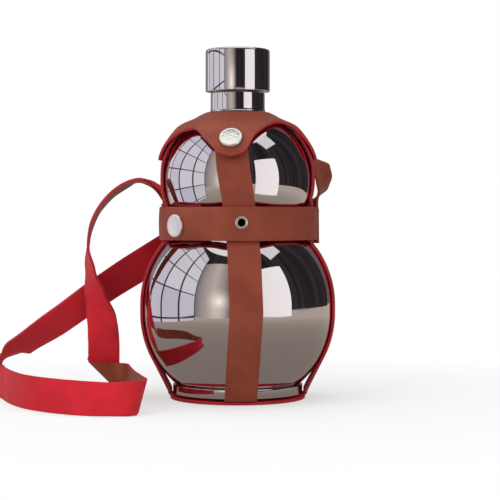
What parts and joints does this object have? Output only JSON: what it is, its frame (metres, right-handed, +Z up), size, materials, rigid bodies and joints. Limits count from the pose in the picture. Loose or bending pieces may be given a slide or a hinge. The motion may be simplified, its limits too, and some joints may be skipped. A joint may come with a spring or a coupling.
{
  "type": "water bottle",
  "caption": "Gourd-shaped polished steel bottle with a screw cap, in a brown leather harness with snap fasteners and a loose shoulder strap",
  "frame": {"origin": "on the bottle's axis, on the underside of the leather base disc", "axes": "+Z up along the bottle's axis, -Y towards the front with the snap fasteners, +X to the right seen from the front"},
  "size_m": [0.2476, 0.1642, 0.2302],
  "materials": {
    "steel": "mirror-polished dark steel",
    "bright": "silver-coloured fastener metal",
    "leather": "brown leather with a red inner face",
    "strap": "red and brown leather strap",
    "gasket": "matt rubber"
  },
  "bodies": {
    "bottle": {"bottle_lower_bulb": "steel", "bottle_upper_bulb": "steel", "bottle_neck": "steel", "foot_ring": "steel", "collar": "leather", "front_strap": "leather", "back_strap": "leather", "left_strap": "leather", "right_strap": "leather", "base_disc": "leather", "waist_belt": "leather", "shoulder_strap": "strap", "collar_snap_stud": "bright", "collar_snap_post": "bright", "belt_snap_stud": "bright", "belt_snap_post": "bright", "eyelet_front": "bright", "eyelet_right": "bright", "eyelet_back": "bright", "eyelet_left": "bright"},
    "cap_lift": {"cap_gasket": "gasket"},
    "cap": {"cap_shell": "steel", "cap_liner": "bright"},
    "collar_flap": {"collar_front_flap": "leather", "collar_snap_cap": "bright", "collar_snap_socket": "bright"},
    "belt_end": {"belt_flap": "leather", "belt_snap_cap": "bright", "belt_snap_socket": "bright"}
  },
  "joints": [
    {"name": "cap_rise", "type": "slide", "parent": "bottle", "child": "cap_lift", "axis": [0, 0, 1], "range_m": [0, 0.024]},
    {"name": "cap_turn", "type": "hinge", "parent": "cap_lift", "child": "cap", "pos_m": [0, 0, 0.2021], "axis": [0, 0, 1], "range_deg": [0, 2160]},
    {"name": "collar_flap_bend", "type": "hinge", "parent": "bottle", "child": "collar_flap", "pos_m": [0, -0.0416, 0.17699], "axis": [-1, 0, 0], "range_deg": [0, 110]},
    {"name": "belt_flap_bend", "type": "hinge", "parent": "bottle", "child": "belt_end", "pos_m": [-0.00908, -0.05151, 0.1152], "axis": [0, 0, 1], "range_deg": [0, 75]}
  ],
  "couplings": [
    {"joint": "cap_rise", "follows": "cap_turn", "m_per_rad": 0.00063662}
  ]
}
